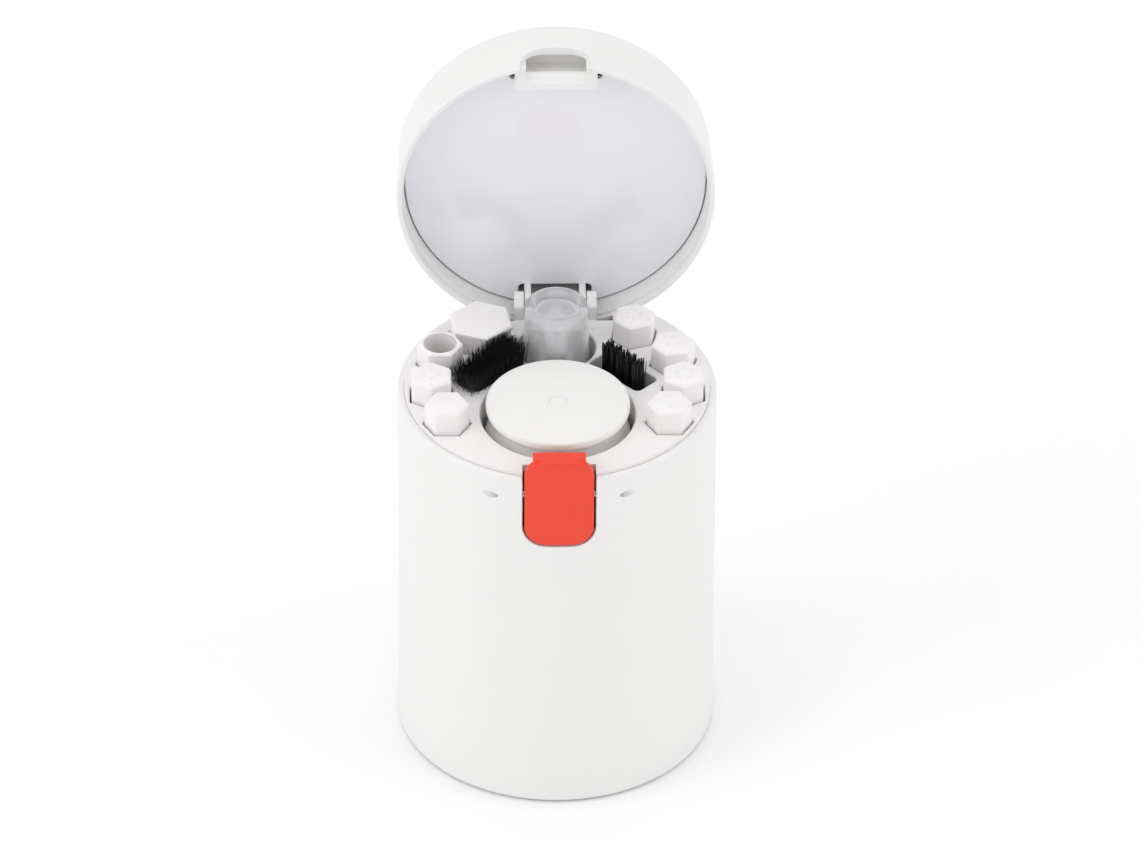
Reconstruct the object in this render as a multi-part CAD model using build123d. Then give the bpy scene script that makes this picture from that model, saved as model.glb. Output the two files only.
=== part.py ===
"""Cylindrical cleaning kit: a flip-lid case that stores lift-out brushes, tips, a blower and a spray bottle.

Millimetres, +Z up, X to the right, the latch at -Y. The origin is the centre of the foot pad's underside.
The lid is exported standing open, which is the rest pose.
"""
import math
import os

from build123d import *

# ---------------------------------------------------------------- case
CASE_R = 40.0
CASE_HEIGHT = 101.0  # floor to the plane of the case rim
WALL = 2.4
FOOT_STANDOFF = 0.5
BASE_THICK = 2.4
BASE_TOP = FOOT_STANDOFF + BASE_THICK
PAD_R = CASE_R - 4.0
RIM_FILLET = 0.8
BASE_FILLET = 1.0
CASE_IN_R = CASE_R - WALL
RIM = CASE_HEIGHT

# ---------------------------------------------------------------- fits
BODY_GAP = 0.30  # between pieces that move apart
RUNNING_GAP = 0.05  # radial, a pin in a part that turns on it
SEAT_GAP = 0.02  # radial, a pin or screw held still
POCKET_GAP = 0.45  # each side, a hex tool in its pocket

# ---------------------------------------------------------------- tray
DECK_TOP = 1.2  # above the rim
DECK_THICK = 2.1
DECK_R = CASE_R - 1.7
INSERT_GAP = 0.15  # radial, the tray and base ring inside the case wall
TUBE_WALL = 1.1
POCKET_FLOOR = -86.0  # below the rim
WELL_AT = (0.0, 27.35 - CASE_R)
WELL_R = 19.4
BOTTLE_AT = (0.0, CASE_R - 24.4)
BOTTLE_HOLE_R = 9.95
COLUMN_AT = ((-17.5, 11.5 - CASE_R), (17.5, 11.5 - CASE_R), (0.0, CASE_R - 8.5))
COLUMN_R = 3.0
SCREW_R = 1.1
TROUGH_FLOOR = -6.6
TROUGH_FRONT = CASE_R - 9.8
TROUGH_NOTCH = BOTTLE_AT[1] + BOTTLE_HOLE_R + 1.05
LATCH_NOTCH = (18.3, CASE_R - 6.0)  # width, and how far forward of the centre it starts

# ---------------------------------------------------------------- lid
LID_HEIGHT = 19.2
LID_TOP_R = CASE_R - 0.7
LID_TOP_THICK = 2.2
LID_IN_R = CASE_R - 1.9
LID_RABBET_R = DECK_R + BODY_GAP + 0.05
LID_SHELF_R = CASE_R - 3.7
PANEL_DEPTH = 7.7
PANEL_R = LID_IN_R - BODY_GAP
PANEL_THICK = 1.6
KEEPER_HALF = 10.3
KEEPER_IN = CASE_R - 8.5
KEEPER_START = 1.3
POCKET_HALF = 7.55
LEDGE_R = CASE_R - 4.7
LEDGE_END = 3.8
ARCH_HALF = 9.08
ARCH_DEEP = 7.9
PANEL_NOTCH_FRONT = (23.5, KEEPER_IN - 1.0)
PANEL_NOTCH_BACK = (18.6, PANEL_R - 6.4)

# ---------------------------------------------------------------- hinge and latch
HINGE_Y = CASE_R - 6.9
HINGE_Z = RIM + 2.5
LID_OPEN_DEG = 91.5
HINGE_PIN_R = 1.0
HINGE_SCREW_R = 0.58
HINGE_SCREW_HEAD_R = 0.8
LUG_X = 9.75
LUG_Y = BOTTLE_AT[1] + 7.6
EAR_IN = 8.0
EAR_OUT = 10.4
ARM_IN = 6.1
ARM_OUT = 7.7
KNUCKLE_R = 2.3
LATCH_Y = 3.9 - CASE_R
LATCH_Z = RIM - 6.3
LATCH_PIN_R = 0.9
SPRING_DROP = 9.4  # the latch spring's axis below the latch pin
BUTTON_WIDE = 17.3
BUTTON_LOW = RIM - 19.5
BUTTON_TOP = RIM + 5.9
SLOT_WIDE = 18.3
SLOT_LOW = RIM - 20.1

# ---------------------------------------------------------------- stored pieces
TOOL_AF = 9.9
TOOL_RISE = 6.2  # tool tops above the deck
TOOL_GRIP = 58.0
CROWN = 0.7  # chamfer round a grip's top
MOUTH = 0.3  # lead-in round every hole in the deck
BUTTON_EDGE = 0.45  # rounding round the button's face
HOOK_EDGE = 0.5  # rounding of the hook's side edges
SLOT_EDGE = 0.3  # rounding of the slot's edge in the case wall
COLLAR_R = TOOL_AF / 2 - 0.75
COLLAR_LONG = 5.0
TIP_SET = 7.5  # how deep a working tip is set into its grip
SOCKET_R = TOOL_AF / 2 - 0.75
SOCKET_DEEP = 24.0
DOT_R = 0.55
DOT_RISE = 0.12
DOT_CIRCLE = 1.9
POCKET_AF = TOOL_AF + 2 * POCKET_GAP
PULLER_AF = 14.5
PULLER_POCKET_AF = PULLER_AF + 2 * BODY_GAP
BRUSH_SIZE = (16.6, 6.9)
BRUSH_POCKET = (17.3, 7.5)
CAP_RISE = 13.45  # top of the spray bottle's overcap above the deck
CAP_TRAVEL = 7.3  # how far the closing lid sends the bottle down

DECK_Z = RIM + DECK_TOP
TOOL_TOP = DECK_Z + TOOL_RISE


def by_wall(inset, bearing, turn):
    """Centre x and y of a tool, inset from the case's inner wall, and its hexagon's turn from +X."""
    reach = CASE_IN_R - inset
    return reach * math.cos(math.radians(bearing)), reach * math.sin(math.radians(bearing)), turn


PICK_AT = by_wall(5.41, 210.63, 0.0)
SPONGE_AT = by_wall(5.41, 329.37, 0.0)
MINI_BRUSH_AT = by_wall(5.79, 187.95, 30.0)
EJECTOR_AT = by_wall(5.79, 352.05, 30.0)
HOLDER_AT = by_wall(7.1, 163.23, 0.0)
SCRAPER_AT = by_wall(7.1, 16.77, 12.0)
SWAB_AT = by_wall(9.38, 46.01, 20.0)
PULLER_AT = by_wall(10.62, 134.32, 40.0)
SOFT_BRUSH_AT = (-16.6, 5.1, 45.0)
STIFF_BRUSH_AT = (16.6, 5.1, -45.0)
SMALL_TOOLS = (PICK_AT, SPONGE_AT, MINI_BRUSH_AT, EJECTOR_AT, HOLDER_AT, SCRAPER_AT, SWAB_AT)


def disc(radius, low, high, at=(0.0, 0.0)):
    """A cylinder between two heights."""
    from_base = (Align.CENTER, Align.CENTER, Align.MIN)
    return Pos(at[0], at[1], low) * Cylinder(radius, high - low, align=from_base)


def ring(outer, inner, low, high, at=(0.0, 0.0)):
    """A tube between two heights."""
    return disc(outer, low, high, at) - disc(inner, low - 1, high + 1, at)


def hexagon(across_flats, low, high, at):
    """A hexagonal prism between two heights; at is x, y and the turn of its first vertex."""
    outline = RegularPolygon(across_flats / 2, 6, major_radius=False, rotation=at[2])
    return Pos(at[0], at[1], low) * extrude(outline, high - low)


def block(low_corner, high_corner):
    """A box given by two opposite corners."""
    size = [b - a for a, b in zip(low_corner, high_corner)]
    return Pos(*low_corner) * Box(*size, align=(Align.MIN, Align.MIN, Align.MIN))


def rounded_bar(size, corner, low, high, at):
    """A bar with rounded vertical corners; at is x, y and the turn of its long side from +X."""
    outline = RectangleRounded(size[0], size[1], corner)
    return Pos(at[0], at[1], low) * (Rot(0, 0, at[2]) * extrude(outline, high - low))


def rod_x(radius, half, y, z):
    """A cylinder along X, centred on X = 0."""
    return Pos(0, y, z) * (Rot(0, 90, 0) * Cylinder(radius, 2 * half))


def rod_y(radius, low, high, x, z):
    """A cylinder along Y between two depths."""
    return Pos(x, (low + high) / 2, z) * (Rot(90, 0, 0) * Cylinder(radius, high - low))


def front_window(half, low, high, corner, near, far):
    """A rounded window extruded along Y, seen from the front."""
    outline = Plane.XZ * Pos(0, (low + high) / 2) * RectangleRounded(2 * half, high - low, corner)
    return Pos(0, far, 0) * extrude(outline, far - near)


def round_edges(shape, radius, height, fillet_by):
    """Fillet the full circular edges of one radius at one height."""
    picked = [
        edge
        for edge in shape.edges().filter_by(GeomType.CIRCLE)
        if abs(edge.radius - radius) < 0.001 and abs(edge.arc_center.Z - height) < 0.001
    ]
    return fillet(picked, fillet_by)


def round_outer_edges(shape, radius, fillet_by, half, low):
    """Fillet the front edges on an upright cylinder, no further than half from X = 0 and above low."""
    picked = []
    for edge in shape.edges():
        points = [edge @ share for share in (0, 0.25, 0.5, 0.75, 1)]
        on_cylinder = all(abs(math.hypot(p.X, p.Y) - radius) < 0.001 for p in points)
        if on_cylinder and all(abs(p.X) < half and p.Y < 0 and p.Z > low for p in points):
            picked.append(edge)
    return fillet(picked, fillet_by)


def turned(points, at=(0.0, 0.0)):
    """A solid turned about the vertical through at, from (radius, height) corner points."""
    outline = make_face(Polyline(*[(r, 0, z) for r, z in points], close=True))
    return Pos(at[0], at[1], 0) * revolve(outline, Axis.Z, 360)


def opened(shape):
    """Turn a piece of the closed lid back to where the lid stands open."""
    swing = Pos(0, HINGE_Y, HINGE_Z) * Rot(-LID_OPEN_DEG, 0, 0) * Pos(0, -HINGE_Y, -HINGE_Z)
    return swing * shape


def coil(radius, wire, pitch, turns, low, at=(0.0, 0.0)):
    """A round-wire compression spring standing on low."""
    path = Helix(pitch=pitch, height=pitch * turns, radius=radius)
    section = Plane(path @ 0, z_dir=path % 0) * Circle(wire / 2)
    return Pos(at[0], at[1], low) * sweep(section, path, is_frenet=True)


# ================================================================ case


def rear_saddle():
    """The dip in the rear wall that the open lid's rim swings down into."""
    return rod_y(CASE_R + 1.3, CASE_R / 2, CASE_R + 20, 0, HINGE_Z + HINGE_Y)


def latch_slot():
    """The slot in the front wall that the latch button fills."""
    return front_window(SLOT_WIDE / 2, SLOT_LOW, RIM + 20, 5.5, -CASE_R - 5, 9 - CASE_R)


def case_shell():
    """The outer wall, with rabbets for the tray and the base plate and bosses for the latch pin."""
    shell = disc(CASE_R, FOOT_STANDOFF, RIM)
    shell = round_edges(shell, CASE_R, RIM, RIM_FILLET)
    shell = round_edges(shell, CASE_R, FOOT_STANDOFF, BASE_FILLET)
    shell -= disc(CASE_IN_R, -1, RIM + 1)
    shell -= disc(DECK_R + 0.1, DECK_Z - DECK_THICK, RIM + 1)
    shell -= disc(DECK_R + 0.1, -1, BASE_TOP)
    for side in (-1, 1):
        low_x = min(side * SLOT_WIDE / 2, side * (SLOT_WIDE / 2 + 5.05))
        boss = block((low_x, LATCH_Y - 2.5, LATCH_Z - 2.9), (low_x + 5.05, LATCH_Y + 2.0, LATCH_Z + 2.9))
        shell += boss & disc(CASE_IN_R + 0.5, 0, RIM)
    shell -= latch_slot()
    shell = round_outer_edges(shell, CASE_R, SLOT_EDGE, SLOT_WIDE / 2 + 0.1, SLOT_LOW - 0.1)
    shell -= rear_saddle()
    shell -= rod_x(LATCH_PIN_R + SEAT_GAP, 22, LATCH_Y, LATCH_Z)
    return shell


def base_plate():
    """The screwed floor of the case, recessed under for the foot pad."""
    plate = disc(DECK_R, FOOT_STANDOFF, BASE_TOP)
    plate += ring(CASE_IN_R - INSERT_GAP, CASE_IN_R - 1.65, BASE_TOP, BASE_TOP + 3.0)
    plate -= disc(PAD_R + 0.2, 0, FOOT_STANDOFF + 0.5)
    for at in COLUMN_AT:
        plate -= disc(COLUMN_R + 0.3, BASE_TOP, 20, at)
        plate -= disc(1.3, 0, 20, at)
        plate -= disc(2.4, 0, FOOT_STANDOFF + 1.5, at)
    return plate


def foot_pad():
    """The soft disc that the case stands on; it hides the base screws."""
    pad = disc(PAD_R, 0, FOOT_STANDOFF + 0.5)
    return round_edges(pad, PAD_R, 0, 0.3)


def base_screws():
    """Three pan-head screws up through the base plate into the tray's columns."""
    screws = []
    for at in COLUMN_AT:
        low = FOOT_STANDOFF + 0.5
        screw = disc(2.2, low, low + 1.0, at) + disc(SCREW_R, low + 0.9, low + 11.0, at)
        screws.append(screw - Pos(at[0], at[1], low) * Box(0.5, 2.4, 0.8))
    return Compound(children=screws)


def tray_edge():
    """What the tray's deck gives up along its rear edge for the lid's rim and the hinge bracket."""
    wide = block((-24.5, TROUGH_FRONT, RIM + TROUGH_FLOOR), (24.5, CASE_R + 5, RIM + 10))
    notch = block((-11.6, TROUGH_NOTCH, RIM + TROUGH_FLOOR), (14.5, CASE_R + 5, RIM + 10))
    return wide + notch


def pocket_voids(grow=0.0, low=POCKET_FLOOR, high=10.0):
    """Every storage hole of the tray, or, with grow, the tubes around them."""
    bottom = RIM + low - grow
    top = RIM + high
    shapes = [hexagon(POCKET_AF + 2 * grow, bottom, top, at) for at in SMALL_TOOLS]
    shapes.append(hexagon(PULLER_POCKET_AF + 2 * grow, bottom, top, PULLER_AT))
    size = (BRUSH_POCKET[0] + 2 * grow, BRUSH_POCKET[1] + 2 * grow)
    for at in (SOFT_BRUSH_AT, STIFF_BRUSH_AT):
        shapes.append(rounded_bar(size, 1.3 + grow * 0.7, bottom, top, at))
    shapes.append(disc(WELL_R + grow, bottom, top, WELL_AT))
    shapes.append(disc(BOTTLE_HOLE_R + min(grow, 1.0), RIM - 97.0 - grow, top, BOTTLE_AT))
    return shapes


def hole_mouths():
    """The lead-in round every storage hole, flaring out to the deck's top."""
    low = DECK_Z - MOUTH
    outlines = []
    for at in SMALL_TOOLS + (PULLER_AT,):
        size = PULLER_POCKET_AF if at == PULLER_AT else POCKET_AF
        outlines.append((RegularPolygon(size / 2, 6, major_radius=False, rotation=at[2]), at))
    for at in (SOFT_BRUSH_AT, STIFF_BRUSH_AT):
        outlines.append((Rot(0, 0, at[2]) * RectangleRounded(BRUSH_POCKET[0], BRUSH_POCKET[1], 1.3), at))
    outlines.append((Circle(WELL_R), WELL_AT))
    outlines.append((Circle(BOTTLE_HOLE_R), BOTTLE_AT))
    return [Pos(at[0], at[1], low) * extrude(outline, MOUTH + 0.01, taper=-45) for outline, at in outlines]


def tool_tray():
    """The moulded insert: a deck with a tube under every hole, three screw columns and the hinge trough."""
    deck = disc(DECK_R, DECK_Z - DECK_THICK, DECK_Z)
    deck = round_edges(deck, DECK_R, DECK_Z, 0.4)
    body = deck
    inside = disc(CASE_IN_R - INSERT_GAP, 0, DECK_Z - 0.5)
    for tube in pocket_voids(TUBE_WALL, POCKET_FLOOR, DECK_TOP - 0.5):
        body += tube & inside
    for at in COLUMN_AT:
        body += disc(COLUMN_R, BASE_TOP, DECK_Z - 0.5, at)
    trough_low = RIM + TROUGH_FLOOR - 1.3
    body += block((-26, TROUGH_NOTCH - 1.4, trough_low), (26, CASE_R, DECK_Z - 0.5)) & inside
    body -= tray_edge()
    for hole in pocket_voids() + hole_mouths():
        body -= hole
    body -= front_window(LATCH_NOTCH[0] / 2, RIM - 30, RIM + 30, 1.0, -CASE_R - 5, -LATCH_NOTCH[1])
    for at in COLUMN_AT:
        body -= disc(SCREW_R + SEAT_GAP, 0, FOOT_STANDOFF + 12.5, at)
    for side in (-1, 1):
        body -= disc(HINGE_SCREW_HEAD_R + SEAT_GAP, RIM - 1.5, RIM + 5, (side * LUG_X, LUG_Y))
        low_x = side * LUG_X - 1.45
        lug_end = TROUGH_NOTCH + 0.9
        body -= block((low_x, LUG_Y - 1.7, RIM - 3.75), (low_x + 2.9, lug_end, DECK_Z - DECK_THICK))
    return body


# ================================================================ hinge


def hinge_bracket():
    """Two ears on a cross beam behind the bottle, screwed up under the deck."""
    front = TROUGH_NOTCH + 0.3
    beam = block((-EAR_OUT, front, RIM + TROUGH_FLOOR + 0.3), (EAR_OUT, TROUGH_FRONT, RIM + 0.4))
    bracket = beam
    for side in (-1, 1):
        inner = min(side * EAR_IN, side * EAR_OUT)
        width = EAR_OUT - EAR_IN
        ear = block((inner, HINGE_Y - 5.1, RIM), (inner + width, HINGE_Y, HINGE_Z + 2.2))
        ear += Pos(inner + width / 2, HINGE_Y, HINGE_Z) * (Rot(0, 90, 0) * Cylinder(2.6, width))
        nose = ear.edges().filter_by(Axis.X).filter_by_position(Axis.Y, HINGE_Y - 5.2, HINGE_Y - 5.0)
        ear = fillet(nose.filter_by_position(Axis.Z, HINGE_Z + 2.1, HINGE_Z + 2.3), 0.9)
        bracket += ear
        low_x = side * LUG_X - 1.3
        lug_top = DECK_Z - DECK_THICK - 0.05
        bracket += block((low_x, LUG_Y - 1.4, RIM - 3.6), (low_x + 2.6, front + 0.3, lug_top))
    bracket -= disc(BOTTLE_HOLE_R + 1.2, RIM - 10, RIM + 10, BOTTLE_AT)
    bracket -= rod_x(HINGE_PIN_R + SEAT_GAP, 12, HINGE_Y, HINGE_Z)
    for side in (-1, 1):
        bracket -= disc(HINGE_SCREW_R + SEAT_GAP, RIM - 4, RIM, (side * LUG_X, LUG_Y))
    return bracket


def hinge_screws():
    """Two small screws down through the deck into the bracket's lugs."""
    screws = []
    for side in (-1, 1):
        at = (side * LUG_X, LUG_Y)
        head = disc(HINGE_SCREW_HEAD_R, DECK_Z - 1.2, DECK_Z + 0.15, at)
        head = round_edges(head, HINGE_SCREW_HEAD_R, DECK_Z + 0.15, 0.12)
        screws.append(head + disc(HINGE_SCREW_R, RIM - 3.4, DECK_Z - 1.1, at))
    return Compound(children=screws)


def hinge_pin():
    """The steel pin through both ears and both lid arms."""
    pin = rod_x(HINGE_PIN_R, EAR_OUT - 0.1, HINGE_Y, HINGE_Z)
    return chamfer(pin.edges().filter_by(GeomType.CIRCLE), 0.2)


def hinge_spring():
    """A torsion spring wound on the hinge pin: one leg on the bracket, one in the lid."""
    turns = Rot(0, 90, 0) * Helix(pitch=0.95, height=9.5, radius=1.55)
    section = Plane(turns @ 0, z_dir=turns % 0) * Circle(0.3)
    wound = sweep(section, turns, is_frenet=True)
    return Pos(-4.75, HINGE_Y, HINGE_Z) * wound


# ================================================================ lid


def lid_shell():
    """The cap with its latch keeper and hinge arms, built closed and then swung open."""
    low = RIM + BODY_GAP
    top = low + LID_HEIGHT
    shell = turned(
        [
            (0, low),
            (CASE_R - 0.4, low),
            (CASE_R, low + 0.4),
            (CASE_R, low + 2.0),
            (LID_TOP_R, top - 1.0),
            (LID_TOP_R, top),
            (0, top),
        ]
    )
    shell = round_edges(shell, LID_TOP_R, top, 1.6)
    shell -= disc(LID_RABBET_R, low - 1, low + 1.6)
    shell -= disc(LID_IN_R, low, low + PANEL_DEPTH + PANEL_THICK)
    shell -= disc(LID_SHELF_R, low, top - LID_TOP_THICK)
    keeper_top = low + 12.0
    keeper = block((-KEEPER_HALF, 1 - CASE_R, low + KEEPER_START), (KEEPER_HALF, -KEEPER_IN, keeper_top))
    shell += keeper & disc(CASE_R - 1.4, low, top)
    for side in (-1, 1):
        inner = min(side * ARM_IN, side * ARM_OUT)
        arm = block((inner, HINGE_Y - 1.65, HINGE_Z), (inner + ARM_OUT - ARM_IN, HINGE_Y + 1.8, top - 1))
        arm += Pos(side * (ARM_IN + ARM_OUT) / 2, HINGE_Y, HINGE_Z) * (
            Rot(0, 90, 0) * Cylinder(KNUCKLE_R, ARM_OUT - ARM_IN)
        )
        shell += arm
    shell -= rod_x(HINGE_PIN_R + RUNNING_GAP, 9, HINGE_Y, HINGE_Z)
    # pocket behind the ledge, the throat past the ledge, and the lead-in
    back = 2.3 - CASE_R
    shell -= block((-POCKET_HALF, back, low + LEDGE_END), (POCKET_HALF, 2.0 - LEDGE_R, keeper_top - 1.6))
    shell -= block((-POCKET_HALF, back, low), (POCKET_HALF, -LEDGE_R, keeper_top - 1.6))
    lead = make_face(
        Polyline(
            (0, -LEDGE_R - 0.5, low),
            (0, -LEDGE_R + 2.0, low),
            (0, -LEDGE_R + 2.0, low + KEEPER_START),
            (0, -LEDGE_R, low + KEEPER_START + 1.4),
            (0, -LEDGE_R - 0.5, low + KEEPER_START + 1.4),
            close=True,
        )
    )
    shell -= extrude(lead, POCKET_HALF, both=True)
    shell -= front_window(ARCH_HALF, low - 20, low + ARCH_DEEP, 6.4, -CASE_R - 5, 2.4 - CASE_R)
    return opened(shell)


def lid_panel():
    """The glossy inner panel, notched for the keeper and for the hinge arms."""
    low = RIM + BODY_GAP + PANEL_DEPTH
    panel = disc(PANEL_R, low, low + PANEL_THICK)
    panel = round_edges(panel, PANEL_R, low, 0.35)
    for (wide, start), side in ((PANEL_NOTCH_FRONT, -1), (PANEL_NOTCH_BACK, 1)):
        notch = RectangleRounded(wide, 20, 1.2)
        panel -= Pos(0, side * (start + 10), low - 1) * extrude(notch, PANEL_THICK + 2)
    return opened(panel)


# ================================================================ latch


def latch_button():
    """The rocking latch: curved face, pivot boss and a hook over the lid's keeper ledge."""
    face = ring(CASE_R + 0.15, CASE_IN_R, BUTTON_LOW - 1, BUTTON_TOP + 1)
    face &= front_window(BUTTON_WIDE / 2, BUTTON_LOW, BUTTON_TOP, 5.0, -CASE_R - 5, 10 - CASE_R)
    face = round_outer_edges(face, CASE_R + 0.15, BUTTON_EDGE, BUTTON_WIDE / 2 + 0.1, BUTTON_LOW - 0.1)
    face -= block((-20, 2.1 - CASE_R, RIM - 0.5), (20, 10 - CASE_R, RIM + 20))
    outline = [
        (-3.1, LATCH_Z - 12.2),
        (-3.1, RIM + 5.2),
        (-2.3, BUTTON_TOP),
        (0.7, BUTTON_TOP),
        (1.7, RIM + 5.1),
        (1.7, RIM + 4.4),
        (0.45, RIM + 4.4),
        (0.45, RIM - 1.4),
        (1.6, LATCH_Z + 1.5),
        (1.8, LATCH_Z),
        (1.6, LATCH_Z - 1.5),
        (-0.3, LATCH_Z - 4.4),
        (-0.3, LATCH_Z - 12.2),
    ]
    profile = make_face(Polyline(*[(0, LATCH_Y + y, z) for y, z in outline], close=True))
    core = extrude(profile, 6.6, both=True)
    top_sides = core.edges().filter_by(Axis.Y).filter_by_position(Axis.Z, BUTTON_TOP - 0.01, BUTTON_TOP + 0.01)
    core = fillet(top_sides, HOOK_EDGE)
    half = BUTTON_WIDE / 2 - 0.25
    cheeks = block((-half, LATCH_Y - 2.8, LATCH_Z - 2.4), (half, LATCH_Y + 1.5, LATCH_Z + 2.4))
    button = face + core + (cheeks & disc(CASE_R, 0, RIM))
    button -= rod_x(LATCH_PIN_R + RUNNING_GAP, 12, LATCH_Y, LATCH_Z)
    button -= rod_y(2.5, LATCH_Y - 1.5, LATCH_Y + 0.1, 0, LATCH_Z - SPRING_DROP)
    return button


def latch_pin():
    """The steel pin the button rocks on, held in the case bosses."""
    pin = rod_x(LATCH_PIN_R, 15.6, LATCH_Y, LATCH_Z)
    return chamfer(pin.edges().filter_by(GeomType.CIRCLE), 0.15)


def latch_spring():
    """A short compression spring between the well's wall and the button's lower back."""
    wound = coil(1.9, 0.4, 0.86, 4, 0)
    return Pos(0, LATCH_Y + 2.5, LATCH_Z - SPRING_DROP) * (Rot(90, 0, 0) * wound)


# ================================================================ stored tools


def grip(at, length=TOOL_GRIP, mark=0):
    """A hexagonal tool grip: chamfered crown, raised marker dots and a round collar below."""
    body = hexagon(TOOL_AF, TOOL_TOP - length, TOOL_TOP, at)
    crown = body.faces().sort_by(Axis.Z)[-1]
    body = chamfer(crown.edges(), CROWN)
    body += disc(COLLAR_R, TOOL_TOP - length - COLLAR_LONG, TOOL_TOP - length + 1, at[:2])
    for n in range(mark):
        angle = math.radians(90 + 360 * n / mark)
        dot = (at[0] + DOT_CIRCLE * math.cos(angle), at[1] + DOT_CIRCLE * math.sin(angle))
        body += disc(DOT_R, TOOL_TOP - 0.2, TOOL_TOP + DOT_RISE, dot)
    return body


def tip_root():
    """Height of the lower end of a small tool's collar."""
    return TOOL_TOP - TOOL_GRIP - COLLAR_LONG


def tip_socket(at, radius):
    """The hole in a collar's end that a working tip is set into."""
    return disc(radius, tip_root() - 1, tip_root() + TIP_SET + 0.5, at[:2])


def pick_needle():
    """A pointed steel rod."""
    root = tip_root()
    point = [(0, root - 24), (0.35, root - 23), (1.1, root - 12)]
    return turned(point + [(1.1, root + TIP_SET), (0, root + TIP_SET)], PICK_AT)


def sponge_tip():
    """A flocked foam bud on a stem."""
    root = tip_root()
    bud = [(0, root - 24), (1.8, root - 23.4), (3.0, root - 21), (3.0, root - 10), (1.8, root - 8)]
    stem = [(1.4, root - 7), (1.4, root + TIP_SET), (0, root + TIP_SET)]
    return turned(bud + stem, SPONGE_AT)


def mini_brush_bristles():
    """A small tapered nylon tuft."""
    root = tip_root()
    tuft = [(0, root - 22), (2.6, root - 21), (2.2, root - 8), (1.9, root + TIP_SET), (0, root + TIP_SET)]
    return turned(tuft, MINI_BRUSH_AT)


def ejector_pin():
    """A thin blunt steel pin."""
    root = tip_root()
    tip = [(0, root - 20), (0.4, root - 20), (0.4, root - 6), (1.0, root - 4)]
    return turned(tip + [(1.0, root + TIP_SET), (0, root + TIP_SET)], EJECTOR_AT)


def tip_holder():
    """A hexagonal sleeve with a deep round socket in its crown."""
    body = hexagon(TOOL_AF, TOOL_TOP - TOOL_GRIP, TOOL_TOP, HOLDER_AT)
    crown = body.faces().sort_by(Axis.Z)[-1]
    body = chamfer(crown.edges(), 0.45)
    body -= disc(SOCKET_R, TOOL_TOP - SOCKET_DEEP, TOOL_TOP + 1, HOLDER_AT[:2])
    return body


def scraper_blade():
    """A flat wedge-ended plastic scraper."""
    root = tip_root()
    x, y = SCRAPER_AT[:2]
    outline = make_face(
        Polyline(
            (-1.2, 0, root + TIP_SET),
            (1.2, 0, root + TIP_SET),
            (1.2, 0, root - 16),
            (0.2, 0, root - 24),
            (-0.2, 0, root - 24),
            (-1.2, 0, root - 16),
            close=True,
        )
    )
    return Pos(x, y, 0) * extrude(outline, 2.6, both=True)


def swab_tip():
    """A soft rubber cone for dots of dirt."""
    root = tip_root()
    cone = [(0, root - 22), (0.8, root - 21.6), (3.1, root - 9), (3.1, root - 7)]
    return turned(cone + [(1.5, root - 6), (1.5, root + TIP_SET), (0, root + TIP_SET)], SWAB_AT)


def scraper_handle():
    """Grip with a rectangular seat for the scraper blade."""
    x, y = SCRAPER_AT[:2]
    root = tip_root()
    body = grip(SCRAPER_AT, mark=3)
    return body - block((x - 1.2, y - 2.6, root - 1), (x + 1.2, y + 2.6, root + TIP_SET + 0.5))


def puller_body():
    """The large hexagonal grip of the puller, hollow for its wires."""
    top = TOOL_TOP - 0.3 - 1.2
    body = hexagon(PULLER_AF - 0.5, top - 62, top, PULLER_AT)
    body -= hexagon(PULLER_AF - 4.1, top - 63, top - 35.7, PULLER_AT)
    body -= disc(3.2, top - 41, top - 8, PULLER_AT[:2])
    return body


def puller_cap():
    """The plate on top of the puller, slightly larger than its grip."""
    top = TOOL_TOP - 0.3
    plate = hexagon(PULLER_AF, top - 1.2, top, PULLER_AT)
    crown = plate.faces().sort_by(Axis.Z)[-1]
    return chamfer(crown.edges(), 0.4)


def puller_jaws():
    """Two sprung steel strips with hooked ends, on one stem."""
    top = TOOL_TOP - 1.5
    x, y = PULLER_AT[:2]
    jaws = disc(3.1, top - 36, top - 9, (x, y))
    for side in (-1, 1):
        strip = Pos(x + side * 3.6, y, top - 60) * Box(0.8, 3.4, 48)
        hook = Pos(x + side * 2.8, y, top - 83.6) * Box(2.4, 3.4, 0.8)
        jaws += strip + hook
    jaws += Pos(x, y, top - 36.4) * Box(8.0, 3.4, 0.8)
    return jaws


def brush_handle(at, seat):
    """A flat brush handle that stands in its pocket up to the height of its bristles' root."""
    body = rounded_bar(BRUSH_SIZE, 1.1, RIM + POCKET_FLOOR + BODY_GAP, RIM + seat, at)
    top = body.faces().sort_by(Axis.Z)[-1]
    return fillet(top.edges(), 0.5)


def bristle_block(at, size, seat, rise):
    """The bristles as one block; it is set 3 mm into the handle."""
    return rounded_bar(size, 1.0, RIM + seat - 3, DECK_Z + rise, at)


def brush_with_seat(at, size, seat):
    """A brush handle with the hole its bristles are set in."""
    return brush_handle(at, seat) - rounded_bar(size, 1.0, RIM + seat - 3, RIM + seat + 5, at)


SOFT_BLOCK = (15.2, 5.6)
STIFF_BLOCK = (13.6, 4.2)
SOFT_SEAT = -14.0
STIFF_SEAT = -9.0

# ================================================================ blower and spray bottle


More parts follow.
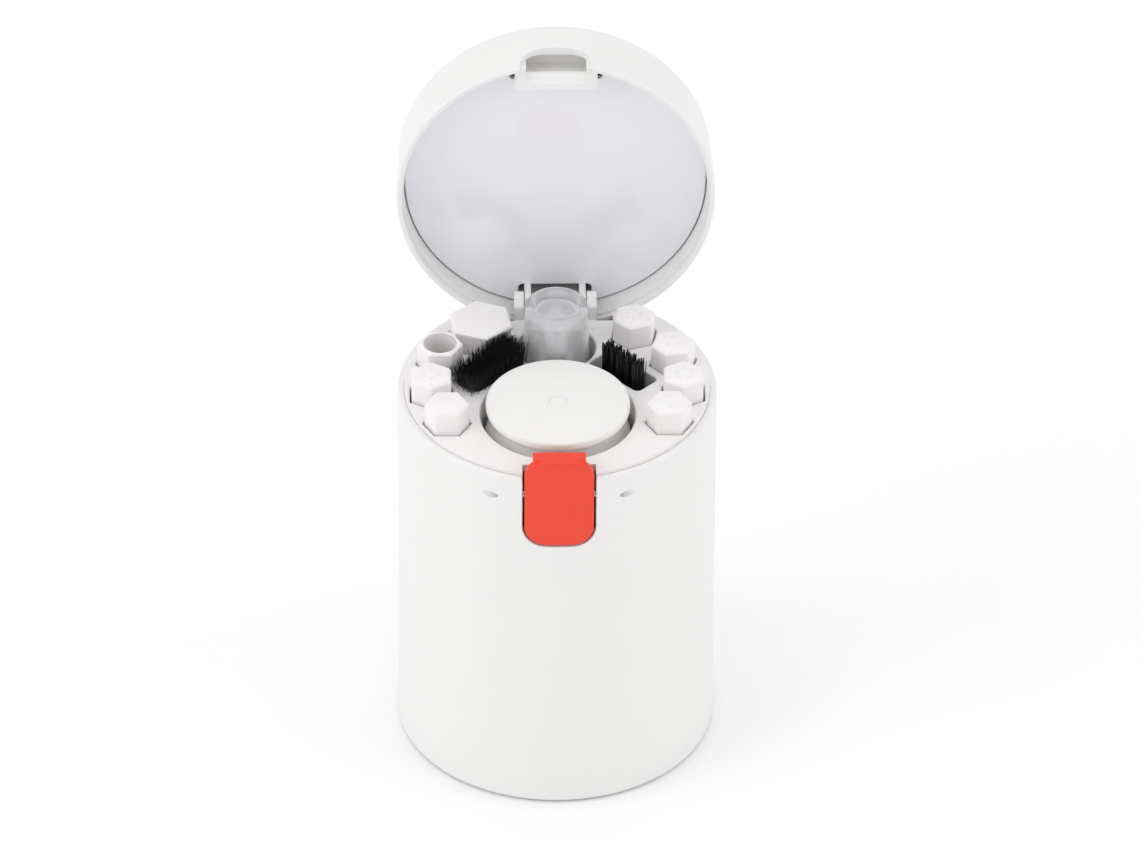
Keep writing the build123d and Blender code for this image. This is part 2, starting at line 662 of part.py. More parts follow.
def blower_bulb():
    """A hollow squeeze bulb stored nozzle down: flat disc foot, waist, shoulder and tapering bulb."""
    outer = [(0, RIM - 50), (4.5, RIM - 50), (7.5, RIM - 46), (12.5, RIM - 34), (16.8, RIM - 20)]
    outer += [(18.4, RIM - 9), (18.4, RIM - 5), (17.4, RIM - 2.2), (15.9, RIM - 0.4), (15.6, RIM + 1.2)]
    outer += [(17.2, RIM + 2.4), (18.04, RIM + 2.8), (18.04, RIM + 4.1), (17.3, RIM + 4.9), (0, RIM + 4.9)]
    inner = [(0, RIM - 51), (3.0, RIM - 51), (3.0, RIM - 47.5), (6.2, RIM - 44.5), (10.9, RIM - 33.4)]
    inner += [(15.0, RIM - 20), (16.5, RIM - 9), (16.4, RIM - 5.6), (15.0, RIM - 2.6), (13.6, RIM - 0.4)]
    inner += [(13.4, RIM + 2.4), (0, RIM + 2.4)]
    bulb = turned(outer, WELL_AT) - turned(inner, WELL_AT)
    return bulb - disc(2.3, RIM + 2, RIM + 6, WELL_AT)


def blower_valve():
    """The inlet valve plug in the centre of the bulb's foot."""
    plug = disc(2.3, RIM + 2.4, RIM + 4.85, WELL_AT)
    return plug - disc(0.35, RIM + 2, RIM + 5, WELL_AT)


def blower_nozzle():
    """The hard nozzle plugged into the bulb's neck."""
    points = [(0.9, RIM - 78), (1.7, RIM - 78), (3.4, RIM - 56), (4.5, RIM - 54), (4.5, RIM - 50)]
    return turned(points + [(3.0, RIM - 50), (3.0, RIM - 47.6), (0.9, RIM - 47.6)], WELL_AT)


def bottle_lifter():
    """The sprung cup that the bottle stands on; the closing lid sends it down."""
    low = RIM - 81.0
    cup = ring(9.55, 8.4, low - 6.5, low + 5)
    cup += disc(9.0, low, low + 2)
    return Pos(BOTTLE_AT[0], BOTTLE_AT[1], 0) * cup


def lifter_spring():
    """The compression spring under the lifter."""
    return coil(6.8, 0.8, 3.0, 5, RIM - 96.5, BOTTLE_AT)


def spray_bottle():
    """The clear bottle: straight wall, shoulder and neck."""
    low = RIM - 78.9
    outer = [(0, low), (7.4, low), (8.2, low + 0.8), (8.2, low + 5), (9.2, low + 6), (9.2, RIM - 20)]
    outer += [(8.4, RIM - 18), (5.6, RIM - 16.4), (5.6, RIM - 8), (0, RIM - 8)]
    inner = [(0, low + 1.2), (7.0, low + 1.2), (7.2, low + 5.5), (8.1, low + 6.8), (8.1, RIM - 20.6)]
    inner += [(7.6, RIM - 19), (4.6, RIM - 17.2), (4.6, RIM - 7), (0, RIM - 7)]
    return turned(outer, BOTTLE_AT) - turned(inner, BOTTLE_AT)


def spray_pump():
    """The screwed pump collar on the neck, its stem guide and its plug in the neck."""
    skirt = ring(7.2, 5.6, RIM - 15.5, RIM - 8, BOTTLE_AT)
    roof = ring(7.2, 1.3, RIM - 8, RIM - 6.4, BOTTLE_AT)
    plug = ring(4.6, 1.3, RIM - 20, RIM - 8, BOTTLE_AT)
    guide = ring(3.9, 3.0, RIM - 6.4, RIM - 1.5, BOTTLE_AT)
    return skirt + roof + plug + guide


def dip_tube():
    """The tube from the pump down to the bottle's floor."""
    return ring(1.3, 0.8, RIM - 76.4, RIM - 12, BOTTLE_AT)


def spray_actuator():
    """The finger button of the spray with its nozzle dot."""
    top = DECK_Z + CAP_RISE - 3.9
    stem = disc(1.0, RIM - 5.9, RIM + 1, BOTTLE_AT)
    head = disc(2.7, RIM + 0.5, top, BOTTLE_AT)
    head = round_edges(head, 2.7, top, 0.6)
    body = head + stem
    dot = rod_y(0.6, BOTTLE_AT[1] - 3.5, BOTTLE_AT[1] - 1.6, 0, top - 3.0)
    return body - dot


def bottle_overcap():
    """The clear cap: dished top with a thick ring rim, a centre nub and a draughted wall."""
    top = DECK_Z + CAP_RISE
    low = top - 22.0
    outer = [(0, low), (8.45, low), (8.45, low + 6), (7.95, top - 2.6), (7.95, top - 0.9), (7.1, top)]
    outer += [(6.4, top), (5.5, top - 0.8), (5.0, top - 2.4), (0, top - 2.4)]
    inner = [(0, low - 1), (7.6, low - 1), (7.6, low + 6), (7.1, top - 4.4), (6.6, top - 3.4), (0, top - 3.4)]
    cap = turned(outer, BOTTLE_AT) - turned(inner, BOTTLE_AT)
    nub = disc(1.88, top - 3.0, top - 1.5, BOTTLE_AT)
    return cap + round_edges(nub, 1.88, top - 1.5, 0.5)


def main():
    """Build every piece and write one STEP file for each."""
    nodes = {
        "case_shell": case_shell(),
        "base_plate": base_plate(),
        "foot_pad": foot_pad(),
        "base_screws": base_screws(),
        "tool_tray": tool_tray(),
        "hinge_bracket": hinge_bracket(),
        "hinge_screws": hinge_screws(),
        "hinge_pin": hinge_pin(),
        "hinge_spring": hinge_spring(),
        "lid_shell": lid_shell(),
        "lid_panel": lid_panel(),
        "latch_button": latch_button(),
        "latch_pin": latch_pin(),
        "latch_spring": latch_spring(),
        "pick_handle": grip(PICK_AT, mark=1) - tip_socket(PICK_AT, 1.1),
        "pick_needle": pick_needle(),
        "sponge_handle": grip(SPONGE_AT, mark=2) - tip_socket(SPONGE_AT, 1.4),
        "sponge_tip": sponge_tip(),
        "mini_brush_handle": grip(MINI_BRUSH_AT, mark=4) - mini_brush_bristles(),
        "mini_brush_bristles": mini_brush_bristles(),
        "ejector_handle": grip(EJECTOR_AT, mark=5) - tip_socket(EJECTOR_AT, 1.0),
        "ejector_pin": ejector_pin(),
        "tip_holder": tip_holder(),
        "scraper_handle": scraper_handle(),
        "scraper_blade": scraper_blade(),
        "swab_handle": grip(SWAB_AT, mark=6) - tip_socket(SWAB_AT, 1.5),
        "swab_tip": swab_tip(),
        "puller_body": puller_body(),
        "puller_cap": puller_cap(),
        "puller_jaws": puller_jaws(),
        "soft_brush_handle": brush_with_seat(SOFT_BRUSH_AT, SOFT_BLOCK, SOFT_SEAT),
        "soft_brush_bristles": bristle_block(SOFT_BRUSH_AT, SOFT_BLOCK, SOFT_SEAT, 6.3),
        "stiff_brush_handle": brush_with_seat(STIFF_BRUSH_AT, STIFF_BLOCK, STIFF_SEAT),
        "stiff_brush_bristles": bristle_block(STIFF_BRUSH_AT, STIFF_BLOCK, STIFF_SEAT, 6.0),
        "blower_bulb": blower_bulb(),
        "blower_valve": blower_valve(),
        "blower_nozzle": blower_nozzle(),
        "bottle_lifter": bottle_lifter(),
        "lifter_spring": lifter_spring(),
        "spray_bottle": spray_bottle(),
        "spray_pump": spray_pump(),
        "dip_tube": dip_tube(),
        "spray_actuator": spray_actuator(),
        "bottle_overcap": bottle_overcap(),
    }
    os.makedirs("parts", exist_ok=True)
    for name, shape in nodes.items():
        export_step(shape, f"parts/{name}.step")
        solids = shape.solids()
        print(f"{name}: {len(solids)} solid(s), {sum(s.volume for s in solids):.1f} mm3")


if __name__ == "__main__":
    main()
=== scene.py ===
"""Looks of a cylindrical cleaning kit: a flip-lid case of lift-out tools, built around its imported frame.

Meshes are drawn in millimetres, in the frame's own axes, and turned to metres when a piece is placed.
"""

import functools
import logging
import math
import random
from collections.abc import Sequence
from dataclasses import dataclass, field
from enum import Enum

import bmesh
import bpy
from mathutils import Matrix, Vector


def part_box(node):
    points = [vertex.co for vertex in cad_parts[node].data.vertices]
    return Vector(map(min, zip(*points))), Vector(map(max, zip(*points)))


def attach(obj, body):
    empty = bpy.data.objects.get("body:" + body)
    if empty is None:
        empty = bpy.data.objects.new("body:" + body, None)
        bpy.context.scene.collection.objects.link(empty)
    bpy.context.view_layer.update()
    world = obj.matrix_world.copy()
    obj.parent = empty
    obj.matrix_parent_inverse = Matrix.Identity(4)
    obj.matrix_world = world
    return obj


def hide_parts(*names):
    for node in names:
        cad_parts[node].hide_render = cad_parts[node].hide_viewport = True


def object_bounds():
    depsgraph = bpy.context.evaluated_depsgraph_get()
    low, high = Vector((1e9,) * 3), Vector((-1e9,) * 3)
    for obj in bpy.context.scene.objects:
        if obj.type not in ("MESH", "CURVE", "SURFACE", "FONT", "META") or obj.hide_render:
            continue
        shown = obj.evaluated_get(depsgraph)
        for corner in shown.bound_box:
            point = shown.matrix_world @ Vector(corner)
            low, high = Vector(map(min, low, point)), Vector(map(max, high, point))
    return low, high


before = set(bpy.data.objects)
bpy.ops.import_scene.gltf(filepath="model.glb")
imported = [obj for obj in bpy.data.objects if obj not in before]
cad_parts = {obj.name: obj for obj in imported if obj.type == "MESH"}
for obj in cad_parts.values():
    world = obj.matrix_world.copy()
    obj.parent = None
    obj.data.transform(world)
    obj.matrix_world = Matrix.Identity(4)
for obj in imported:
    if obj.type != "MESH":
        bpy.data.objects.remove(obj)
CAD_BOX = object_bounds()

MM = 0.001
WELD_MM = 0.003  # corners nearer than this are one corner
ROUND = 0.5  # a bevel's profile that gives a circular arc
log = logging.getLogger("cleaning_kit")


# ================================================================ finishes


class Grain(Enum):
    """How a surface was made, which decides its relief."""

    ERODED = "spark-eroded mould"
    POLISHED = "polished mould"
    DRAWN = "drawn through a die"
    FLOCKED = "flocked or foamed"
    SPUN = "spun filament"


def linear(hex_colour: str) -> tuple[float, float, float, float]:
    """Turn an sRGB hex colour to linear light.

    Args:
        hex_colour: six digits, with or without a leading #.

    Returns:
        Red, green, blue and an alpha of 1.
    """
    digits = hex_colour.lstrip("#")
    shares = [int(digits[k : k + 2], 16) / 255 for k in (0, 2, 4)]
    light = [s / 12.92 if s <= 0.04045 else ((s + 0.055) / 1.055) ** 2.4 for s in shares]
    return light[0], light[1], light[2], 1.0


def add_node(
    tree: bpy.types.NodeTree,
    kind: str,
    settings: dict[str | int, object] | None = None,
    links: dict[str | int, bpy.types.NodeSocket] | None = None,
) -> bpy.types.Node:
    """Add one shader node.

    Args:
        tree: the material's node tree.
        kind: the node's type name.
        settings: values by input name or number, or by the node's own property name.
        links: sockets to join to inputs, by input name or number.

    Returns:
        The new node.
    """
    node = tree.nodes.new(kind)
    for key, value in (settings or {}).items():
        if isinstance(key, int) or key in node.inputs:
            node.inputs[key].default_value = value
        else:
            setattr(node, key, value)
    for key, socket in (links or {}).items():
        tree.links.new(socket, node.inputs[key])
    return node


@dataclass(frozen=True)
class Finish:
    """One material: what it is made of and how its surface was made.

    Grain and mottle are spacings in millimetres; relief is the grain's height in millimetres.
    """

    name: str
    slot: str
    colour: str
    shade: str
    roughness: float
    grain: Grain = Grain.ERODED
    grain_mm: float = 0.6
    relief_mm: float = 0.01
    mottle_mm: float = 14.0
    ior: float = 1.53
    metallic: float = 0.0
    clear: float = 0.0
    coat: float = 0.0
    coat_roughness: float = 0.05
    sheen: float = 0.0
    through: float = 0.0
    through_mm: float = 1.0

    def material(self) -> bpy.types.Material:
        """Return the Blender material, made once."""
        return _material(self)

    def stretch(self) -> tuple[float, float, float]:
        """Return how much the grain is drawn out along each axis."""
        if self.grain is Grain.DRAWN:
            return 0.04, 1.0, 1.0
        if self.grain is Grain.SPUN:
            return 1.0, 1.0, 0.08
        return 1.0, 1.0, 1.0


@functools.cache
def _material(finish: Finish) -> bpy.types.Material:
    """Build the node tree of one finish.

    Args:
        finish: the finish to build.

    Returns:
        A material whose pattern is read from Object coordinates.
    """
    made = bpy.data.materials.new(finish.name)
    made.use_nodes = True
    tree = made.node_tree
    tree.nodes.clear()
    place = add_node(tree, "ShaderNodeTexCoord")
    turned = add_node(
        tree, "ShaderNodeMapping", {"Scale": finish.stretch()}, {"Vector": place.outputs["Object"]}
    )
    where = turned.outputs["Vector"]
    per_metre = 1 / MM
    broad = add_node(
        tree, "ShaderNodeTexNoise", {"Scale": per_metre / finish.mottle_mm, "Detail": 3.0}, {"Vector": where}
    )
    fine = add_node(
        tree,
        "ShaderNodeTexNoise",
        {"Scale": per_metre / finish.grain_mm, "Detail": 2.0, "Roughness": 0.6},
        {"Vector": where},
    )
    tint = add_node(
        tree,
        "ShaderNodeMix",
        {"data_type": "RGBA", 6: linear(finish.shade), 7: linear(finish.colour)},
        {0: broad.outputs["Fac"]},
    )
    spread = 0.12 * finish.roughness + 0.01
    gloss = add_node(
        tree,
        "ShaderNodeMapRange",
        {"To Min": finish.roughness - spread, "To Max": finish.roughness + spread},
        {"Value": broad.outputs["Fac"]},
    )
    relief = add_node(
        tree,
        "ShaderNodeBump",
        {"Strength": 1.0, "Distance": finish.relief_mm * MM},
        {"Height": fine.outputs["Fac"]},
    )
    settings: dict[str | int, object] = {
        "Metallic": finish.metallic,
        "Transmission Weight": finish.clear,
        "Coat Weight": finish.coat,
        "Coat Roughness": finish.coat_roughness,
        "Sheen Weight": finish.sheen,
        "Subsurface Weight": finish.through,
        "Subsurface Radius": (1.0, 0.8, 0.65),
        "Subsurface Scale": finish.through_mm * MM,
    }
    if not finish.metallic:
        settings["IOR"] = finish.ior
    shader = add_node(
        tree,
        "ShaderNodeBsdfPrincipled",
        settings,
        {
            "Base Color": tint.outputs[2],
            "Roughness": gloss.outputs["Result"],
            "Normal": relief.outputs["Normal"],
        },
    )
    add_node(tree, "ShaderNodeOutputMaterial", {}, {"Surface": shader.outputs["BSDF"]})
    return made


# White ABS from a finely eroded mould: a soft satin that spreads its highlights.
# The real grain is about 0.1 mm, drawn here at 0.6 mm so that it shows.
CASE_ABS = Finish("ABS_eroded_white", "case_white", "#F0EFEE", "#EDECEB", 0.42, relief_mm=0.006)
TRAY_ABS = Finish("ABS_tray_white", "tray_white", "#F1EFEE", "#EEECEB", 0.46, relief_mm=0.008)
# Polypropylene grips: a little waxier than the case, and light passes a short way into them.
TOOL_PP = Finish(
    "Polypropylene_white", "tool_white", "#F4F1F1", "#F1EEEE", 0.40, relief_mm=0.006, ior=1.49,
    through=0.15, through_mm=0.8,
)
# Polished ABS sheet: bluish white, with a sharp coat over a flat face, so it mirrors faintly.
PANEL_ABS = Finish(
    "ABS_polished_bluish", "panel_gloss", "#F3F3F8", "#F0F0F6", 0.16, grain=Grain.POLISHED,
    grain_mm=18.0, relief_mm=0.004, mottle_mm=30.0, coat=0.6, coat_roughness=0.04,
)
# Orange-red ABS, satin like the case.
BUTTON_ABS = Finish(
    "ABS_satin_orange", "latch_orange", "#F23D1C", "#ED3A19", 0.38, grain_mm=0.5, relief_mm=0.006,
)
# Moulded silicone: dead matt, slightly dusty at grazing angles.
SILICONE = Finish(
    "Silicone_matt_white", "silicone_white", "#EFEEEC", "#ECEBE9", 0.62, grain_mm=0.5, relief_mm=0.01,
    ior=1.43, sheen=0.15, through=0.1, through_mm=1.2,
)
PAD_RUBBER = Finish(
    "EVA_foam_grey", "foot_rubber", "#8E8D8C", "#848382", 0.8, grain=Grain.FLOCKED, grain_mm=0.4,
    relief_mm=0.04, ior=1.5,
)
STEEL = Finish(
    "Spring_steel_drawn", "steel", "#B9BABC", "#A9AAAD", 0.26, grain=Grain.DRAWN, grain_mm=0.25,
    relief_mm=0.004, mottle_mm=4.0, metallic=1.0,
)
# Clear polypropylene cap. Its index is set far below the resin's 1.49, so that the thick ring stays pale
# instead of filling with dark refractions.
CLEAR_PP = Finish(
    "Polypropylene_clear", "clear_cap", "#FCFDFE", "#F9FAFC", 0.08, grain=Grain.POLISHED, grain_mm=6.0,
    relief_mm=0.006, ior=1.18, clear=0.72, coat=0.6,
)
# Blown PET bottle, with its index set below the resin's 1.57 for the same reason.
CLEAR_PET = Finish(
    "PET_blown_clear", "clear_bottle", "#F8FAFA", "#F4F7F7", 0.06, grain=Grain.POLISHED, grain_mm=8.0,
    relief_mm=0.01, ior=1.2, clear=0.7, coat=0.6,
)
SPRAY_PP = Finish(
    "Polypropylene_pump_white", "spray_white", "#F4F3F4", "#F0EFF1", 0.32, grain=Grain.POLISHED,
    grain_mm=2.0, relief_mm=0.003, ior=1.49,
)
# Nylon filament: near black, with a narrow sheen along each strand.
NYLON = Finish(
    "Nylon_filament_black", "bristle_black", "#171718", "#0E0E0F", 0.34, grain=Grain.SPUN, grain_mm=0.3,
    relief_mm=0.003, mottle_mm=2.0,
)
FOAM = Finish(
    "Foam_flocked_grey", "foam_grey", "#B9B8B6", "#A5A4A2", 0.9, grain=Grain.FLOCKED, grain_mm=0.35,
    relief_mm=0.12, sheen=0.5,
)


# ================================================================ shaping


def box_mm(node: str) -> tuple[Vector, Vector]:
    """Return a CAD node's lowest and highest corner, in millimetres."""
    low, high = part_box(node)
    return low / MM, high / MM


def centre_mm(node: str) -> Vector:
    """Return the middle of a CAD node's box, in millimetres."""
    low, high = box_mm(node)
    return (low + high) / 2


def weld(form: bmesh.types.BMesh) -> bmesh.types.BMesh:
    """Close the seams of a form and turn its faces outwards."""
    bmesh.ops.remove_doubles(form, verts=form.verts, dist=WELD_MM)
    bmesh.ops.recalc_face_normals(form, faces=form.faces)
    return form


def join(forms: Sequence[bmesh.types.BMesh]) -> bmesh.types.BMesh:
    """Put several forms into one, and free the others.

    Args:
        forms: closed forms that are one piece.

    Returns:
        The form that holds them all.
    """
    whole = bmesh.new()
    for form in forms:
        spare = bpy.data.meshes.new("spare")
        form.to_mesh(spare)
        form.free()
        whole.from_mesh(spare)
        bpy.data.meshes.remove(spare)
    return whole


def spun(
    corners: Sequence[tuple[float, ...]],
    at: tuple[float, float],
    top: float = 0.0,
    closed: bool = False,
    steps: int = 96,
) -> bmesh.types.BMesh:
    """Turn an outline about a vertical axis.

    Args:
        corners: radius, height and, where a corner is rounded, how far back the rounding starts.
        at: where the axis stands.
        top: a height added to every corner.
        closed: whether the last corner joins the first, as on a ring.
        steps: how many faces go round.

    Returns:
        A closed form.
    """
    form = bmesh.new()
    verts = [form.verts.new((corner[0], 0.0, corner[1] + top)) for corner in corners]
    pairs = list(zip(verts, verts[1:]))
    if closed:
        pairs.append((verts[-1], verts[0]))
    for start, end in pairs:
        form.edges.new((start, end))
    for size in sorted({corner[2] for corner in corners if len(corner) > 2}):
        picked = [v for v, corner in zip(verts, corners) if len(corner) > 2 and corner[2] == size]
        bmesh.ops.bevel(
            form, geom=picked, offset=size, offset_type="OFFSET", segments=5, profile=ROUND,
            affect="VERTICES", clamp_overlap=True, material=-1,
        )
    bmesh.ops.spin(
        form, geom=form.verts[:] + form.edges[:], cent=(0, 0, 0), axis=(0, 0, 1), dvec=(0, 0, 0),
        angle=math.tau, steps=steps, use_merge=True, use_normal_flip=False, use_duplicate=False,
    )
    bmesh.ops.translate(form, vec=(at[0], at[1], 0.0), verts=form.verts)
    return weld(form)


def softened(
    form: bmesh.types.BMesh, radius: float, sharper_than: float = 32.0, segments: int = 2
) -> bmesh.types.BMesh:
    """Round the edges that a mould or a cutter would leave rounded.

    Args:
        form: the form to round.
        radius: width of the rounding, in millimetres.
        sharper_than: the least turn of an edge that is rounded, in degrees.
        segments: faces across the rounding.

    Returns:
        The same form.
    """
    limit = math.radians(sharper_than)
    edges = [e for e in form.edges if len(e.link_faces) == 2 and e.calc_face_angle(0.0) > limit]
    bmesh.ops.bevel(
        form, geom=edges, offset=radius, offset_type="OFFSET", segments=segments, profile=ROUND,
        affect="EDGES", clamp_overlap=False, loop_slide=True, material=-1,
    )
    return form


def hexagon(
    across_flats: float, low: float, high: float, at: Vector, turn: float, edge: float, crown: float
) -> bmesh.types.BMesh:
    """Make a hexagonal bar with softened corners and a chamfered top.

    Args:
        across_flats: distance between opposite faces.
        low: height of the lower end.
        high: height of the top.
        at: centre, of which x and y are used.
        turn: turn of the first corner from +X, in degrees.
        edge: rounding of the upright corners.
        crown: size of the chamfer round the top.

    Returns:
        A closed form.
    """
    form = bmesh.new()
    bmesh.ops.create_circle(form, cap_ends=True, segments=6, radius=across_flats / math.sqrt(3))
    base = form.faces[:]
    risen = bmesh.ops.extrude_face_region(form, geom=base)
    lifted = [v for v in risen["geom"] if isinstance(v, bmesh.types.BMVert)]
    bmesh.ops.translate(form, vec=(0, 0, high - low), verts=lifted)
    bmesh.ops.recalc_face_normals(form, faces=form.faces)
    upright = [e for e in form.edges if abs(e.verts[0].co.z - e.verts[1].co.z) > WELD_MM]
    bmesh.ops.bevel(
        form, geom=upright, offset=edge, offset_type="OFFSET", segments=3, profile=ROUND,
        affect="EDGES", clamp_overlap=True, material=-1,
    )
    rim = [e for e in form.edges if all(v.co.z > high - low - WELD_MM for v in e.verts)]
    bmesh.ops.bevel(
        form, geom=rim, offset=crown, offset_type="OFFSET", segments=1, profile=ROUND,
        affect="EDGES", clamp_overlap=True, material=-1,
    )
    softened(form, edge * 0.4, sharper_than=28.0)
    first_corner = 30.0  # a six-sided circle starts with a corner on +Y, which is 30 degrees round
    turned = Matrix.Rotation(math.radians(turn - first_corner), 3, "Z")
    bmesh.ops.rotate(form, cent=(0, 0, 0), matrix=turned, verts=form.verts)
    bmesh.ops.translate(form, vec=(at.x, at.y, low), verts=form.verts)
    return form


def rounded_bar(
    size: tuple[float, float], corner: float, low: float, high: float, at: Vector, turn: float, edge: float
) -> bmesh.types.BMesh:
    """Make an upright bar with rounded corners.

    Args:
        size: its two widths.
        corner: radius of the upright corners.
        low: height of the lower end.
        high: height of the top.
        at: centre, of which x and y are used.
        turn: turn of the long side from +X, in degrees.
        edge: rounding of the end faces.

    Returns:
        A closed form.
    """
    form = bmesh.new()
    bmesh.ops.create_cube(form, size=1.0)
    bmesh.ops.scale(form, vec=(size[0], size[1], high - low), verts=form.verts)
    upright = [e for e in form.edges if abs(e.verts[0].co.z - e.verts[1].co.z) > WELD_MM]
    bmesh.ops.bevel(
        form, geom=upright, offset=corner, offset_type="OFFSET", segments=6, profile=ROUND,
        affect="EDGES", clamp_overlap=True, material=-1,
    )
    softened(form, edge, sharper_than=60.0, segments=3)
    turned = Matrix.Rotation(math.radians(turn), 3, "Z")
    bmesh.ops.rotate(form, cent=(0, 0, 0), matrix=turned, verts=form.verts)
    bmesh.ops.translate(form, vec=(at.x, at.y, (low + high) / 2), verts=form.verts)
    return form


def strand(length: float, root: float, tip: float, bow: float) -> bpy.types.Mesh:
    """Make one bristle that stands on the origin and bows towards +X.

    Args:
        length: from root to tip.
        root: radius at the root.
        tip: radius at the tip.
        bow: how far the tip leans, as a share of the length.

    Returns:
        A small closed mesh to be copied many times.
    """
    form = bmesh.new()
    bmesh.ops.create_cone(
        form, cap_ends=True, segments=4, radius1=root, radius2=tip, depth=length,
        matrix=Matrix.Translation((0, 0, length / 2)),
    )
    upright = [e for e in form.edges if abs(e.verts[0].co.z - e.verts[1].co.z) > length / 2]
    bmesh.ops.subdivide_edges(form, edges=upright, cuts=2)
    for v in form.verts:
        v.co.x += bow * length * (v.co.z / length) ** 2
    mesh = bpy.data.meshes.new("strand")
    form.to_mesh(mesh)
    form.free()
    return mesh


# ================================================================ assemblies


@dataclass
class Assembly:
    """Pieces that ride together on one CAD body."""

    body: str

    def place(
        self, form: bmesh.types.BMesh, name: str, finish: Finish, *nodes: str, smooth_to: float = 38.0
    ) -> bpy.types.Object:
        """Turn a form into a finished piece that rides on this body.

        Args:
            form: the piece in millimetres; it is freed.
            name: the piece's name.
            finish: its material.
            nodes: the CAD nodes it stands for.
            smooth_to: edges that turn more than this many degrees stay sharp.

        Returns:
            The piece.
        """
        bmesh.ops.scale(form, vec=(MM,) * 3, verts=form.verts)
        mesh = bpy.data.meshes.new(name)
        form.to_mesh(mesh)
        form.free()
        for face in mesh.polygons:
            face.use_smooth = True
        mesh.set_sharp_from_angle(angle=math.radians(smooth_to))
        piece = bpy.data.objects.new(name, mesh)
        bpy.context.scene.collection.objects.link(piece)
        piece.data.materials.append(finish.material())
        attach(piece, self.body)
        if nodes:
            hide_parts(*nodes)
        log.info("%s rides on %s: %d faces, %s", name, self.body, len(mesh.polygons), finish.name)
        return piece

    def keep(self, finish: Finish, *nodes: str) -> None:
        """Give CAD nodes that are already the right shape their finish.

        Args:
            finish: their material.
            nodes: the CAD nodes, which stay on the bodies they are on.
        """
        for node in nodes:
            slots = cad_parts[node].data.materials
            slots.clear()
            slots.append(finish.material())
            log.info("%s keeps its shape: %s", node, finish.name)


@dataclass
class Case(Assembly):
    """The outer wall, base, tool tray, hinge parts and pins."""

    body: str = "case"

    def build(self) -> None:
        """Give the case's pieces their finishes."""
        self.keep(CASE_ABS, "case_shell", "base_plate")
        self.keep(TRAY_ABS, "tool_tray", "hinge_bracket", "hinge_screws")
        self.keep(PAD_RUBBER, "foot_pad")
        self.keep(STEEL, "base_screws", "hinge_pin", "latch_pin")
        self.keep(STEEL, "hinge_spring", "latch_spring", "lifter_spring")


@dataclass
class Lid(Assembly):
    """The flip lid and its glossy inner panel."""

    body: str = "lid"

    def build(self) -> None:
        """Give the lid's pieces their finishes."""
        self.keep(CASE_ABS, "lid_shell")
        self.keep(PANEL_ABS, "lid_panel")


@dataclass
class Latch(Assembly):
    """The rocking button that holds the lid."""

    body: str = "latch"

    def build(self) -> None:
        """Give the latch button its finish."""
        self.keep(BUTTON_ABS, "latch_button")


@dataclass
class HexTool(Assembly):
    """A small tool's grip: a hexagonal bar with raised dots on top and a round collar below."""

    node: str = ""
    turn: float = 0.0
    dots: int = 0
    across_flats: float = 9.9
    collar_r: float = 4.2
    collar_long: float = 5.0
    edge: float = 0.45
    crown: float = 0.7
    dot_r: float = 0.55
    dot_rise: float = 0.12
    dot_circle: float = 1.9
    dot_sunk: float = 0.2
    dot_edge: float = 0.1
    collar_edge: float = 0.5
    lap: float = 1.0

    def grip(self) -> bmesh.types.BMesh:
        """Return the grip, its collar and its marker dots as one form."""
        low, high = box_mm(self.node)
        at = centre_mm(self.node)
        bar = hexagon(
            self.across_flats, low.z + self.collar_long, high.z, at, self.turn, self.edge, self.crown
        )
        spot = (at.x, at.y)
        inside = self.collar_long + self.lap
        collar = [(0, 0), (self.collar_r, 0, self.collar_edge), (self.collar_r, inside), (0, inside)]
        forms = [bar, spun(collar, spot, low.z, steps=48)]
        for n in range(self.dots):
            angle = math.tau * (n / self.dots + 0.25)
            there = (
                spot[0] + self.dot_circle * math.cos(angle),
                spot[1] + self.dot_circle * math.sin(angle),
            )
            dome = [
                (0, -self.dot_sunk), (self.dot_r, -self.dot_sunk), (self.dot_r, self.dot_rise, self.dot_edge),
                (0, self.dot_rise),
            ]
            forms.append(spun(dome, there, high.z, steps=20))
        return join(forms)

    def build(self) -> None:
        """Make the grip."""
        self.place(self.grip(), f"{self.body}_grip", TOOL_PP, self.node)


@dataclass
class Tip(Assembly):
    """A turned working tip set into a small tool's collar."""

    node: str = ""
    outline: Sequence[tuple[float, ...]] = ()
    finish: Finish = STEEL
    set_in: float = 7.5

    def build(self) -> bpy.types.Object:
        """Make the tip; its outline is measured down from the collar's end."""
        high = box_mm(self.node)[1]
        at = centre_mm(self.node)
        form = spun(self.outline, (at.x, at.y), high.z - self.set_in, steps=48)
        return self.place(form, f"{self.body}_tip", self.finish, self.node)


